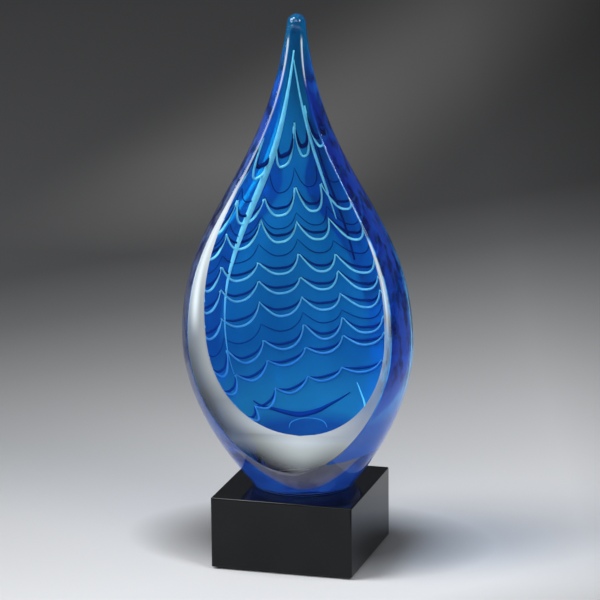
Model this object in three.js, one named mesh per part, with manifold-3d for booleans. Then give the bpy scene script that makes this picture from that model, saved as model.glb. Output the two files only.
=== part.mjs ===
// Art glass award: a solid glass drop with combed threads, ground flat in front, on a black block.
// Millimetres, +Z up. The origin is on the floor under the middle of the block, and the facet faces -Y,
// turned a little towards +X.
import * as THREE from "three";
import { mergeVertices } from "three/addons/utils/BufferGeometryUtils.js";
import Module from "manifold-3d";

// Block, felt and adhesive
const BASE_WIDTH = 76.2;
const BASE_DEPTH = 76.2;
const BASE_HEIGHT = 38.1;
const BASE_CHAMFER = 0.8;
const FELT_THICKNESS = 1.0;
const FELT_INSET = 3.0;
const FELT_CORNER_RADIUS = 3.0;
const ADHESIVE_THICKNESS = 0.3;
const ADHESIVE_INSET = 1.6;

// Outer form of the drop
const GLASS_HEIGHT = 250.6;
const FOOT_RADIUS = 27.0;
const HEEL_RADIUS = 1.2;
const BELLY_RADIUS = 60.6;
const BELLY_HEIGHT = 77.3;
const TIP_RADIUS = 4.8;
const NECK_FLARE = 10.8;

// Fullness of the outer curves, as shares of the height that each curve climbs
const FOOT_FULLNESS_OUT = 0.41;
const FOOT_FULLNESS_UP = 0.49;
const BELLY_FULLNESS_BELOW = 0.12;
const BELLY_FULLNESS_ABOVE = 0.415;
const TIP_FULLNESS = 0.516;

// The hand-shaped drop sways sideways: how far its middle lies towards +X at the foot and halfway up
const SWAY_AT_FOOT = 1.9;
const SWAY_HALFWAY = -1.55;

// The facet's distance in front of the axis at the level of the foot and at the tip,
// and how many degrees it is turned from the block's front towards +X
const FACET_AT_FOOT = 41.3;
const FACET_AT_TIP = 2.0;
const FACET_TURN_ANGLE = 7.1;

// Inner layers
const CASING_WALL = 6.3;
const CASING_FLOOR = 22.2;
const CASING_TIP_WALL = 2.6;
const CORE_RISE = 5.6;
const COLOUR_THICKNESS = 1.2;
const CORE_NECK_FLARE = 3.0;
const CORE_FULLNESS_FLOOR = 0.4;
const CORE_FULLNESS_BELOW = 0.72;
const CORE_FULLNESS_ABOVE = 0.4;
const CORE_FULLNESS_TIP = 0.477;

// How far the core lies off the drop's middle towards +X at the level of the foot, less and less towards the tip
const CORE_OFFSET = 6.9;

// Threads
const THREAD_WIDTH = 1.0;
const THREAD_THICKNESS = 0.8;
const THREAD_CLEARANCE = 0.3;
const CASING_CLEARANCE = 0.5;
const LAYER_GAP = 0.3;
const THREAD_PITCH = 11.0;

// Strokes of the comb, in degrees from straight back towards +X, at STROKE_LEVEL,
// and how many degrees they drift towards -X for each rise of that much
const STROKES = [-172, -145, -118, -91, -63.5, -35.5, -10.5, 12.5, 43, 70, 97, 124, 151, 178];
const STROKE_LEVEL = 140.0;
const STROKE_DRIFT_ANGLE = 3.5;

// Each turn of the white trail from the bottom up: its height as a share of the core's height, how far
// the comb draws it up as a share of COMB_DRAW, its lean from left to right in degrees, and how far above
// it the cobalt trail lies as a share of COBALT_RISE. The cobalt trail ends below the top turn, whose
// long loops leave it no room.
const COMB_DRAW = 10.0;
const COBALT_RISE = 4.0;
const TURNS = [
  { at: 0.105, comb: 0.45, lean: 16, cobalt: 0.6 },
  { at: 0.165, comb: 0.6, lean: 15, cobalt: 0.6 },
  { at: 0.197, comb: 0.94, lean: 12.5, cobalt: 0.7 },
  { at: 0.266, comb: 0.89, lean: 7.7, cobalt: 0.95 },
  { at: 0.315, comb: 0.91, lean: 4.5, cobalt: 0.85 },
  { at: 0.359, comb: 0.99, lean: 2.7, cobalt: 0.8 },
  { at: 0.439, comb: 1.26, lean: 3.6, cobalt: 0.9 },
  { at: 0.511, comb: 1.45, lean: 7, cobalt: 1.3 },
  { at: 0.655, comb: 2.3, lean: 27 },
];

// Fineness of the facets
const ROUND_STEPS = 36;
const BELOW_STEPS = 9;
const ABOVE_STEPS = 11;
const TIP_STEPS = 4;
const STEPS_PER_STROKE = 5;
const SHORTEST_STEP_ANGLE = 1.0;

// Levels
const BASE_BOTTOM = FELT_THICKNESS;
const BASE_TOP = BASE_BOTTOM + BASE_HEIGHT;
const GLASS_BOTTOM = BASE_TOP + ADHESIVE_THICKNESS;
const GLASS_TOP = GLASS_BOTTOM + GLASS_HEIGHT;
const CORE_BOTTOM = GLASS_BOTTOM + CASING_FLOOR;
const THREAD_SPACE = THREAD_CLEARANCE + THREAD_THICKNESS + CASING_CLEARANCE;

const wasm = await Module();
wasm.setup();

// Keeps only the positions, with shared vertices merged and empty triangles left out
function closed(geometry) {
  const bare = geometry.clone();
  bare.deleteAttribute("normal");
  bare.deleteAttribute("uv");
  const merged = mergeVertices(bare, 1e-3);
  const kept = [];
  const index = merged.index.array;
  for (let i = 0; i < index.length; i += 3) {
    const [a, b, c] = [index[i], index[i + 1], index[i + 2]];
    if (a !== b && b !== c && c !== a) kept.push(a, b, c);
  }
  merged.setIndex(kept);
  return merged;
}

function toSolid(geometry) {
  const merged = closed(geometry);
  return new wasm.Manifold(
    new wasm.Mesh({
      numProp: 3,
      vertProperties: new Float32Array(merged.attributes.position.array),
      triVerts: new Uint32Array(merged.index.array),
    }),
  );
}

function toGeometry(solid) {
  const made = solid.getMesh();
  const geometry = new THREE.BufferGeometry();
  geometry.setAttribute("position", new THREE.BufferAttribute(made.vertProperties, 3));
  geometry.setIndex(new THREE.BufferAttribute(made.triVerts, 1));
  geometry.computeVertexNormals();
  return geometry;
}

// The offset of the drop's middle towards +X at a height
function sway(height) {
  const up = THREE.MathUtils.clamp((height - GLASS_BOTTOM) / GLASS_HEIGHT, 0, 1);
  return SWAY_AT_FOOT * (1 - up) * (1 - 2 * up) + SWAY_HALFWAY * 4 * up * (1 - up);
}

// The middle of the core and its colour layer
function coreMiddle(height) {
  const up = THREE.MathUtils.clamp((height - GLASS_BOTTOM) / GLASS_HEIGHT, 0, 1);
  return sway(height) + CORE_OFFSET * (1 - up) ** 2;
}

// A profile of points (radius, height) turned round a middle that shifts towards +X with height
function turned(profile, middle) {
  const geometry = new THREE.LatheGeometry(profile, ROUND_STEPS);
  geometry.rotateX(Math.PI / 2);
  const position = geometry.attributes.position;
  for (let i = 0; i < position.count; i += 1) {
    position.setX(i, position.getX(i) + middle(position.getZ(i)));
  }
  return geometry;
}

// A curve from one point to another, with the two points that it bends towards
function bend(from, towardsFirst, towardsLast, to) {
  const points = [from, towardsFirst, towardsLast, to].map(([r, z]) => new THREE.Vector2(r, z));
  return new THREE.CubicBezierCurve(...points);
}

// Outline of the whole drop, from the middle of the foot to the top of the tip
function dropOutline() {
  const heel = GLASS_BOTTOM + HEEL_RADIUS;
  const belly = GLASS_BOTTOM + BELLY_HEIGHT;
  const neck = GLASS_TOP - TIP_RADIUS;
  const rise = belly - heel;
  const climb = neck - belly;
  const below = bend(
    [FOOT_RADIUS, heel],
    [FOOT_RADIUS + FOOT_FULLNESS_OUT * rise, heel + FOOT_FULLNESS_UP * rise],
    [BELLY_RADIUS, belly - BELLY_FULLNESS_BELOW * rise],
    [BELLY_RADIUS, belly],
  );
  const above = bend(
    [BELLY_RADIUS, belly],
    [BELLY_RADIUS, belly + BELLY_FULLNESS_ABOVE * climb],
    [TIP_RADIUS + NECK_FLARE, neck - TIP_FULLNESS * climb],
    [TIP_RADIUS, neck],
  );
  const tip = new THREE.EllipseCurve(0, neck, TIP_RADIUS, TIP_RADIUS, 0, Math.PI / 2);
  return [
    new THREE.Vector2(0, GLASS_BOTTOM),
    new THREE.Vector2(FOOT_RADIUS - HEEL_RADIUS, GLASS_BOTTOM),
    ...below.getPoints(BELOW_STEPS),
    ...above.getPoints(ABOVE_STEPS).slice(1),
    ...tip.getPoints(TIP_STEPS).slice(1, -1),
    new THREE.Vector2(0, GLASS_TOP),
  ];
}

// Outline of the colour layer's outside, from its bottom to the end of its neck at the tip
const CORE_RADIUS = BELLY_RADIUS - CASING_WALL;
const CORE_BELLY = GLASS_BOTTOM + BELLY_HEIGHT + CORE_RISE;
const CORE_NECK = TIP_RADIUS - CASING_TIP_WALL;

function coreOutline(fineness) {
  const drop = CORE_BELLY - CORE_BOTTOM;
  const climb = GLASS_TOP - CORE_BELLY;
  const below = bend(
    [0, CORE_BOTTOM],
    [CORE_FULLNESS_FLOOR * CORE_RADIUS, CORE_BOTTOM],
    [CORE_RADIUS, CORE_BELLY - CORE_FULLNESS_BELOW * drop],
    [CORE_RADIUS, CORE_BELLY],
  );
  const above = bend(
    [CORE_RADIUS, CORE_BELLY],
    [CORE_RADIUS, CORE_BELLY + CORE_FULLNESS_ABOVE * climb],
    [CORE_NECK + CORE_NECK_FLARE, GLASS_TOP - CORE_FULLNESS_TIP * climb],
    [CORE_NECK, GLASS_TOP],
  );
  return [...below.getPoints(fineness * BELOW_STEPS), ...above.getPoints(fineness * ABOVE_STEPS).slice(1)];
}

// The core outline moved out by a distance that may change with height, and closed above the tip
function layerProfile(distance) {
  const outline = coreOutline(1);
  const moved = outline.map((point, i) => {
    const before = outline[Math.max(i - 1, 0)];
    const after = outline[Math.min(i + 1, outline.length - 1)];
    const along = after.clone().sub(before).normalize();
    const d = distance(point.y);
    if (i === 0) return new THREE.Vector2(0, point.y - d);
    return new THREE.Vector2(Math.max(point.x + along.y * d, 0.1), point.y - along.x * d);
  });
  const end = moved[moved.length - 1];
  end.y = GLASS_TOP;
  const over = GLASS_TOP + TIP_RADIUS;
  moved.push(new THREE.Vector2(end.x, over), new THREE.Vector2(0, over));
  return moved;
}

// The space for the threads closes to a plain gap in the neck, above the last turn
const LAST_TURN = TURNS[TURNS.length - 1];
const THREADS_END = CORE_BOTTOM + LAST_TURN.at * (GLASS_TOP - CORE_BOTTOM) + COMB_DRAW * LAST_TURN.comb;
function threadSpace(height) {
  const neckLength = GLASS_TOP - THREADS_END;
  const share = THREE.MathUtils.smoothstep(height, THREADS_END + neckLength / 3, GLASS_TOP);
  return THREE.MathUtils.lerp(THREAD_SPACE, LAYER_GAP, share);
}

// Everything in front of the facet's plane
const FACET_LEAN = Math.atan2(FACET_AT_FOOT - FACET_AT_TIP, GLASS_HEIGHT);
const FACET_TURN = THREE.MathUtils.degToRad(FACET_TURN_ANGLE);
function inFrontOfFacet() {
  const reach = 2 * (GLASS_HEIGHT + BELLY_RADIUS);
  const box = new THREE.BoxGeometry(reach, reach, reach);
  box.translate(0, -reach / 2, 0);
  box.rotateX(-FACET_LEAN);
  box.translate(0, -FACET_AT_FOOT, GLASS_BOTTOM);
  box.rotateZ(FACET_TURN);
  return toSolid(box);
}
function depthBehindFacet(point) {
  const up = point.z - GLASS_BOTTOM;
  const back = point.y * Math.cos(FACET_TURN) - point.x * Math.sin(FACET_TURN);
  return (back + FACET_AT_FOOT) * Math.cos(FACET_LEAN) - up * Math.sin(FACET_LEAN);
}

// Radius of the colour layer and its slope at a height
const FINE_OUTLINE = coreOutline(40);
function coreAt(height) {
  let i = 1;
  while (i < FINE_OUTLINE.length - 1 && FINE_OUTLINE[i].y < height) i += 1;
  const [a, b] = [FINE_OUTLINE[i - 1], FINE_OUTLINE[i]];
  const rise = Math.max(b.y - a.y, 1e-6);
  const share = THREE.MathUtils.clamp((height - a.y) / rise, 0, 1);
  return { radius: THREE.MathUtils.lerp(a.x, b.x, share), slope: (b.x - a.x) / rise };
}

// How far the strokes of the comb have drifted at the level of a turn, in degrees
function drift(turn) {
  const level = CORE_BOTTOM + turn.at * (GLASS_TOP - CORE_BOTTOM);
  return STROKE_DRIFT_ANGLE * (1 - level / STROKE_LEVEL);
}

// 0 in the middle between two strokes of the comb and 1 on a stroke
function fromMiddle(angle) {
  const next = Math.max(1, STROKES.findIndex((stroke) => stroke >= angle));
  const share = (angle - STROKES[next - 1]) / (STROKES[next] - STROKES[next - 1]);
  return Math.abs(2 * share - 1);
}

// A point of a turn, on the colour layer, at an angle in degrees from straight back towards +X
function threadPoint(turn, angle, lift) {
  const level = CORE_BOTTOM + turn.at * (GLASS_TOP - CORE_BOTTOM) + lift;
  const drawn = COMB_DRAW * turn.comb * Math.pow(fromMiddle(angle - drift(turn)), 1.9);
  const side = Math.sin(THREE.MathUtils.degToRad(angle));
  const lean = Math.tan(THREE.MathUtils.degToRad(turn.lean)) * coreAt(level).radius * side;
  const height = level + drawn + lean + THREAD_PITCH * angle / 360;
  const { radius, slope } = coreAt(height);
  const length = Math.hypot(1, slope);
  const out = THREAD_CLEARANCE + THREAD_THICKNESS / 2;
  const r = radius + out / length;
  const turnAngle = Math.PI / 2 - THREE.MathUtils.degToRad(angle);
  const normal = new THREE.Vector3(Math.cos(turnAngle), Math.sin(turnAngle), -slope).normalize();
  const position = new THREE.Vector3(r * Math.cos(turnAngle), r * Math.sin(turnAngle), height - out * slope / length);
  position.x += coreMiddle(position.z);
  return { position, normal };
}

// The part of a turn that lies behind the facet, from its left end to its right end
function threadPath(turn, lift) {
  const behind = THREAD_WIDTH / 2 + THREAD_CLEARANCE;
  const isInside = (angle) => depthBehindFacet(threadPoint(turn, angle, lift).position) > behind;
  const angles = [];
  for (let i = 1; i < STROKES.length; i += 1) {
    for (let step = 0; step < STEPS_PER_STROKE; step += 1) {
      angles.push(THREE.MathUtils.lerp(STROKES[i - 1], STROKES[i], step / STEPS_PER_STROKE) + drift(turn));
    }
  }
  const middle = angles.findIndex((angle) => angle > 0);
  let first = middle;
  while (first > 0 && isInside(angles[first - 1])) first -= 1;
  let last = middle;
  while (last < angles.length - 1 && isInside(angles[last + 1])) last += 1;
  const kept = angles.slice(first, last + 1);
  const left = endBetween(angles[first], angles[Math.max(first - 1, 0)], isInside);
  const right = endBetween(angles[last], angles[Math.min(last + 1, angles.length - 1)], isInside);
  if (kept[0] - left > SHORTEST_STEP_ANGLE) kept.unshift(left);
  if (right - kept[kept.length - 1] > SHORTEST_STEP_ANGLE) kept.push(right);
  return kept.map((angle) => threadPoint(turn, angle, lift));
}

// The last angle from an inner one towards an outer one at which the thread is still behind the facet
function endBetween(inner, outer, isInside) {
  let [kept, tooFar] = [inner, outer];
  for (let i = 0; i < 20; i += 1) {
    const middle = (kept + tooFar) / 2;
    if (isInside(middle)) kept = middle;
    else tooFar = middle;
  }
  return kept;
}

// A thread with a flattened four-sided section along a path that lies on the colour layer
function thread(path) {
  const positions = [];
  const index = [];
  path.forEach((point, i) => {
    const before = path[Math.max(i - 1, 0)].position;
    const after = path[Math.min(i + 1, path.length - 1)].position;
    const along = after.clone().sub(before).normalize();
    const across = along.clone().cross(point.normal).normalize().multiplyScalar(THREAD_WIDTH / 2);
    const out = point.normal.clone().multiplyScalar(THREAD_THICKNESS / 2);
    for (const corner of [out, across, out.clone().negate(), across.clone().negate()]) {
      positions.push(...point.position.clone().add(corner).toArray());
    }
    if (i === 0) return;
    for (let side = 0; side < 4; side += 1) {
      const next = (side + 1) % 4;
      const low = 4 * (i - 1);
      const high = 4 * i;
      index.push(low + side, low + next, high + next, low + side, high + next, high + side);
    }
  });
  const last = 4 * (path.length - 1);
  index.push(0, 2, 1, 0, 3, 2, last, last + 1, last + 2, last, last + 2, last + 3);
  const geometry = new THREE.BufferGeometry();
  geometry.setAttribute("position", new THREE.Float32BufferAttribute(positions, 3));
  geometry.setIndex(index);
  geometry.computeVertexNormals();
  return geometry;
}

// A square outline with cut or rounded corners
function square(width, depth, corner, rounded) {
  const [x, y] = [width / 2, depth / 2];
  const shape = new THREE.Shape();
  shape.moveTo(-x + corner, -y);
  shape.lineTo(x - corner, -y);
  if (rounded) shape.absarc(x - corner, -y + corner, corner, -Math.PI / 2, 0, false);
  shape.lineTo(x, -y + corner);
  shape.lineTo(x, y - corner);
  if (rounded) shape.absarc(x - corner, y - corner, corner, 0, Math.PI / 2, false);
  shape.lineTo(x - corner, y);
  shape.lineTo(-x + corner, y);
  if (rounded) shape.absarc(-x + corner, y - corner, corner, Math.PI / 2, Math.PI, false);
  shape.lineTo(-x, y - corner);
  shape.lineTo(-x, -y + corner);
  if (rounded) shape.absarc(-x + corner, -y + corner, corner, Math.PI, 1.5 * Math.PI, false);
  shape.closePath();
  return shape;
}

const clearGlass = new THREE.MeshStandardMaterial({
  color: 0xdfe9ea,
  roughness: 0.03,
  metalness: 0,
  transparent: true,
  opacity: 0.3,
});
const azureGlass = new THREE.MeshStandardMaterial({
  color: 0x0a6fcf,
  roughness: 0.05,
  metalness: 0,
  transparent: true,
  opacity: 0.65,
});
const whiteGlass = new THREE.MeshStandardMaterial({ color: 0xd6ecfb, roughness: 0.15, metalness: 0 });
const cobaltGlass = new THREE.MeshStandardMaterial({ color: 0x0c1f6b, roughness: 0.1, metalness: 0 });
const blackGlass = new THREE.MeshStandardMaterial({ color: 0x0c0e11, roughness: 0.06, metalness: 0 });
const adhesive = new THREE.MeshStandardMaterial({
  color: 0xe8ecec,
  roughness: 0.2,
  metalness: 0,
  transparent: true,
  opacity: 0.5,
});
const felt = new THREE.MeshStandardMaterial({ color: 0x141414, roughness: 0.95, metalness: 0 });

const award = new THREE.Group();
function add(name, geometry, material) {
  const mesh = new THREE.Mesh(geometry, material);
  mesh.name = name;
  award.add(mesh);
}

// Felt sheet, block and adhesive
const feltShape = square(BASE_WIDTH - 2 * FELT_INSET, BASE_DEPTH - 2 * FELT_INSET, FELT_CORNER_RADIUS, true);
const feltPad = new THREE.ExtrudeGeometry(feltShape, {
  depth: FELT_THICKNESS,
  bevelEnabled: false,
  curveSegments: 6,
});
add("felt_pad", closed(feltPad), felt);

const blockShape = square(BASE_WIDTH - 2 * BASE_CHAMFER, BASE_DEPTH - 2 * BASE_CHAMFER, BASE_CHAMFER, false);
const block = new THREE.ExtrudeGeometry(blockShape, {
  depth: BASE_HEIGHT - 2 * BASE_CHAMFER,
  bevelEnabled: true,
  bevelThickness: BASE_CHAMFER,
  bevelSize: BASE_CHAMFER,
  bevelSegments: 1,
});
block.translate(0, 0, BASE_BOTTOM + BASE_CHAMFER);
add("base_block", closed(block), blackGlass);

const filmRadius = FOOT_RADIUS - HEEL_RADIUS - ADHESIVE_INSET;
const film = new THREE.CylinderGeometry(filmRadius, filmRadius, ADHESIVE_THICKNESS, ROUND_STEPS);
film.rotateX(Math.PI / 2);
film.translate(SWAY_AT_FOOT, 0, BASE_TOP + ADHESIVE_THICKNESS / 2);
add("foot_adhesive", closed(film), adhesive);

// Layers of the drop, all cut by the same facet
const front = inFrontOfFacet();
const drop = toSolid(turned(dropOutline(), sway)).subtract(front);
const pocket = toSolid(turned(layerProfile(threadSpace), coreMiddle));
const colourOutside = toSolid(turned(layerProfile(() => 0), coreMiddle));
const colourInside = toSolid(turned(layerProfile(() => -COLOUR_THICKNESS), coreMiddle));
const coreOutside = toSolid(turned(layerProfile(() => -COLOUR_THICKNESS - LAYER_GAP), coreMiddle));
add("casing_glass", toGeometry(drop.subtract(pocket)), clearGlass);
add("colour_layer", toGeometry(drop.intersect(colourOutside).subtract(colourInside)), azureGlass);
add("core_glass", toGeometry(drop.intersect(coreOutside)), clearGlass);

// Threads, and the least gap between any two of them
const paths = [];
TURNS.forEach((turn, i) => {
  const number = String(i + 1).padStart(2, "0");
  paths.push({ name: `white_thread_${number}`, path: threadPath(turn, 0), material: whiteGlass });
  if (!turn.cobalt) return;
  const rise = COBALT_RISE * turn.cobalt;
  paths.push({ name: `cobalt_thread_${number}`, path: threadPath(turn, rise), material: cobaltGlass });
});
for (const { name, path, material } of paths) add(name, thread(path), material);

function closePoints(path) {
  const points = [];
  for (let i = 1; i < path.length; i += 1) {
    const [a, b] = [path[i - 1].position, path[i].position];
    const pieces = Math.ceil((2 * a.distanceTo(b)) / THREAD_WIDTH);
    for (let k = 0; k < pieces; k += 1) points.push(a.clone().lerp(b, k / pieces));
  }
  return points;
}
const measured = paths.map(({ path }) => closePoints(path));
let leastGap = Infinity;
for (let i = 0; i < measured.length; i += 1) {
  for (let j = 0; j < i; j += 1) {
    for (const a of measured[i]) {
      for (const b of measured[j]) {
        leastGap = Math.min(leastGap, a.distanceTo(b) - THREAD_WIDTH);
      }
    }
  }
}
console.log(`least gap between threads, measured on points: ${leastGap.toFixed(2)} mm`);

export default award;
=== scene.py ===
"""Looks of the art glass award: a cased glass drop with combed threads, on a polished black block."""

import math

import bmesh
import bpy
from mathutils import Matrix, Vector


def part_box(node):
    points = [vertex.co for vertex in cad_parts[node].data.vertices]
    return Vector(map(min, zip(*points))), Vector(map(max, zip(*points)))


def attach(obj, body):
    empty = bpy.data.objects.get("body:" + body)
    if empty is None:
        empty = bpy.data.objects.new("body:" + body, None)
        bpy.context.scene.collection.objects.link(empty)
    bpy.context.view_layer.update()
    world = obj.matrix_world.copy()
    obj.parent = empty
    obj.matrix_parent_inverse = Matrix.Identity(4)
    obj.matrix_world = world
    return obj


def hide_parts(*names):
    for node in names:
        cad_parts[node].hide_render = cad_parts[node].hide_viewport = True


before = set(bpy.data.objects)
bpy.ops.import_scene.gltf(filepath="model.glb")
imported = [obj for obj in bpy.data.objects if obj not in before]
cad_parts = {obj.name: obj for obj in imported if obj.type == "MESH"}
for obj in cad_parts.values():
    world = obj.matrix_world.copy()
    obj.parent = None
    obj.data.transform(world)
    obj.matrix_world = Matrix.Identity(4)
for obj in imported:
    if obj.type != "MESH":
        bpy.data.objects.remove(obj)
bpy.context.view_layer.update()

MM = 0.001
TINY = 1e-6

# Levels and outer form of the drop in mm, the same values as in the CAD model
GLASS_BOTTOM = 39.4
GLASS_HEIGHT = 250.6
GLASS_TOP = GLASS_BOTTOM + GLASS_HEIGHT
FOOT_RADIUS = 27.0
HEEL_RADIUS = 1.2
BELLY_RADIUS = 60.6
BELLY_HEIGHT = 77.3
TIP_RADIUS = 4.8
NECK_FLARE = 10.8
FOOT_FULLNESS_OUT = 0.41
FOOT_FULLNESS_UP = 0.49
BELLY_FULLNESS_BELOW = 0.12
BELLY_FULLNESS_ABOVE = 0.415
TIP_FULLNESS = 0.516
SWAY_AT_FOOT = 1.9
SWAY_HALFWAY = -1.55
FACET_AT_FOOT = 41.3
FACET_AT_TIP = 2.0
FACET_LEAN = math.atan2(FACET_AT_FOOT - FACET_AT_TIP, GLASS_HEIGHT)
FACET_TURN = math.radians(7.1)
FACET_END = 281.0
FACET_END_CURVE = 0.12
# Softened edge of the facet, and the largest share of half the facet's width that it takes
ARRIS = 0.45
ARRIS_SHARE = 0.35

# Colour layer in mm
CASING_WALL = 6.3
CASING_NECK_WALL = 1.1
CASING_THIN_FROM = 115.0
CASING_THIN_TO = 212.0
CORE_RADIUS = BELLY_RADIUS - CASING_WALL
CORE_BOTTOM = GLASS_BOTTOM + 22.2
CORE_BELLY = GLASS_BOTTOM + BELLY_HEIGHT + 5.6
CORE_FULLNESS_FLOOR = 0.4
CORE_FULLNESS_BELOW = 0.72
CORE_OFFSET = 6.9
CORE_TOP = GLASS_TOP - CASING_NECK_WALL
CORE_LEAST_RADIUS = 0.02

# Strokes of the comb, as angles in degrees from the back towards +X, and how they drift with height
STROKES = [-172, -145, -118, -91, -63.5, -35.5, -10.5, 12.5, 43, 70, 97, 124, 151, 178]
STROKE_LEVEL = 140.0
STROKE_DRIFT_ANGLE = 3.5
# A cusp rises with a power of the way to its stroke, and the power grows with the draw
CUSP_POWER = 2.0
CUSP_DRAW = 24
# The hand makes the strokes uneven, by this share, in waves round the drop and up it
UNEVENNESS = 0.16
UNEVEN_TURN = 5.2
UNEVEN_RISE = 40.0
# The hand drags the cusps sideways
HOOK_ANGLE = -2.2
HOOK_POWER = 4

# Threads: rise in one turn, distance outside the colour layer, and the level where they stop following it
THREAD_PITCH = 11.0
THREAD_OUT = -0.8
THREAD_TOP = GLASS_TOP - 6
# A thread runs this many degrees to both sides of the back, unless it comes this close to the facet
THREAD_SWEEP = 150.0
THREAD_STEP = 1.0
THREAD_END_DEPTH = 2.5
# Share of its rise that a cobalt thread has between the strokes, and the share of that which a stroke takes
LIFT_SHARE = 0.8
LIFT_CLOSING = 0.95
# Radius in mm, and the shares of it between the strokes and lost on a stroke
THREAD_FULL = 1.1
WHITE_RADIUS, WHITE_THINNING = 0.6, 0.35
COBALT_RADIUS, COBALT_THINNING = 0.65, 0.8
TOP_RADIUS, TOP_THINNING = 1.1, 0.95
FINE_RADIUS, FINE_THINNING = 0.3, 0.5
# Each turn: share of the core's height, draw of the comb in mm, lean in degrees,
# rise of the cobalt thread in mm
TURNS = [
    (0.105, 4.5, 16, 2.8),
    (0.165, 6.0, 15, 3.0),
    (0.197, 9.4, 12.5, 3.8),
    (0.266, 8.9, 7.7, 4.8),
    (0.315, 9.1, 4.5, 4.2),
    (0.359, 9.9, 2.7, 4.2),
    (0.439, 12.6, 3.6, 5.0),
    (0.511, 15.5, 7, 5.6),
    (0.655, 24.0, 27, 7.5),
]
# Fine dark lines between the turns, given in the same way
FINE_TURNS = [
    (0.235, 6.5, 10, 0),
    (0.405, 8.0, 3.5, 0),
    (0.475, 9.5, 5, 0),
    (0.575, 13.0, 12, 0),
]

# How far the middle of a streak lies outside the colour layer, in mm
STREAK_OUT = -0.3
LONG_STREAK_OUT = -1.0
PAINTED_LIGHT_EDGE_OUT = 0.7
PAINTED_LIGHT_EDGE_FLATNESS = 0.4
# Streaks along the colour layer: angle in degrees, height and radius in mm; the comb drew the right one
# towards the tip
# Painted light: a bright line down the left side of the window from the tip
PAINTED_LIGHT_LEFT = [
    (-22.6, 270, 0.4),
    (-33.4, 247, 0.9),
    (-41.3, 209, 1.7),
    (-48.5, 181, 1.7),
    (-54.1, 160, 1.2),
    (-60.3, 137, 0.6),
    (-63.5, 110, 0.35),
    (-65.6, 92, 0.2),
]
RIGHT_STREAK = [
    (-20.3, 265, 0.3),
    (-4.8, 253, 0.4),
    (7.0, 233, 0.7),
    (12.6, 206, 0.8),
    (15.9, 175, 0.25),
]
# Painted shade: a dark line down the right side of the window
PAINTED_SHADE_LINE = [
    (17.0, 219, 0.4),
    (17.5, 200, 0.6),
    (20.1, 180, 0.6),
    (22.6, 152, 0.5),
]
# Painted light: a bright line low at the right side of the window
PAINTED_LIGHT_LOW = [
    (25.0, 87, 0.15),
    (33.0, 82, 0.45),
    (46.0, 76.5, 0.55),
]
# Painted reflection: a bright line along the fold of the right wall, outside the colour layer
PAINTED_LIGHT_EDGE = [
    (80.0, 152, 0.2),
    (82.0, 135, 0.7),
    (84.0, 116, 1.3),
    (85.5, 100, 1.3),
    (87.0, 84, 0.3),
]
# Arch and ring at the bottom of the window, given in the same way
FLOOR_ARCH = [
    (-42.3, 66.2, 0.15),
    (-32.8, 68.2, 0.3),
    (-15.0, 69.4, 0.3),
    (4.0, 68.7, 0.3),
    (15.2, 66.4, 0.15),
]
FLOOR_RING = [
    (-60.0, 78.7, 0.3),
    (-53.0, 75.4, 0.7),
    (-26.0, 70.9, 1.5),
    (-4.4, 72.2, 1.3),
    (11.3, 76.9, 0.7),
    (22.0, 82.0, 0.2),
]

# Block in mm: its rounded edges, and the area in square mm above which a face is flat
BLOCK_EDGE = 0.8
BLOCK_EDGE_STEPS = 3
BLOCK_FLAT_AREA = 200
# Edge of the adhesive film: share of its thickness and bulge in mm; waves by size, count and start
FILM_EDGE = [(0, -0.15), (0.25, 0.0), (0.75, 0.0), (1, -0.15)]
FILM_WAVES = [(0.25, 3, 0.7), (0.15, 7, 0)]
# Edge of the felt: share of its thickness and inset in mm; ragged by this much in waves along X, Y and Z
FELT_CORNER = 3.0
FELT_EDGE = [(0.0, 0.25), (0.2, 0.05), (0.8, 0.05), (1.0, 0.25)]
FELT_RAGGED = 0.08
FELT_WAVES = (1.7, 2.3, 9)

# Fineness of the meshes
HEEL_STEPS = 6
BELLY_STEPS = 110
NECK_STEPS = 190
TIP_STEPS = 14
CORE_FLOOR_STEPS = 90
CORE_TIP_STEPS = 8
RIM_STEPS = 8
WINDOW_STEPS = 16
FLAT_STEPS = 2 * RIM_STEPS + WINDOW_STEPS
ARRIS_STEPS = 4
ROUND_STEPS = 300
LAYER_STEPS = 150
TUBE_SIDES = 8
STREAK_STEPS = 12
FILM_STEPS = 96
FELT_CORNER_STEPS = 6
# Vertices this close are joined, and shorter edges dissolved, in mm
WELD = 1e-4
SLIVER = 1e-5

# Material slots of the drop, and the name of the map across its rim
ROUND, WINDOW, FOOT, RIM = range(4)
RIM_UV = "across_rim"


def clamp(value, low=0, high=1):
    return min(max(value, low), high)


def weigh(shares, corners):
    """What the shares of some corners add up to, number by number."""
    return tuple(sum(s * c[k] for s, c in zip(shares, corners)) for k in range(len(corners[0])))


def bend(start, first, last, end, steps):
    """Points (radius, height) of a curve from start to end that bends towards first and last."""
    points = []
    for i in range(steps + 1):
        t = i / steps
        shares = ((1 - t) ** 3, 3 * (1 - t) ** 2 * t, 3 * (1 - t) * t * t, t**3)
        points.append(weigh(shares, (start, first, last, end)))
    return points


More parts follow.
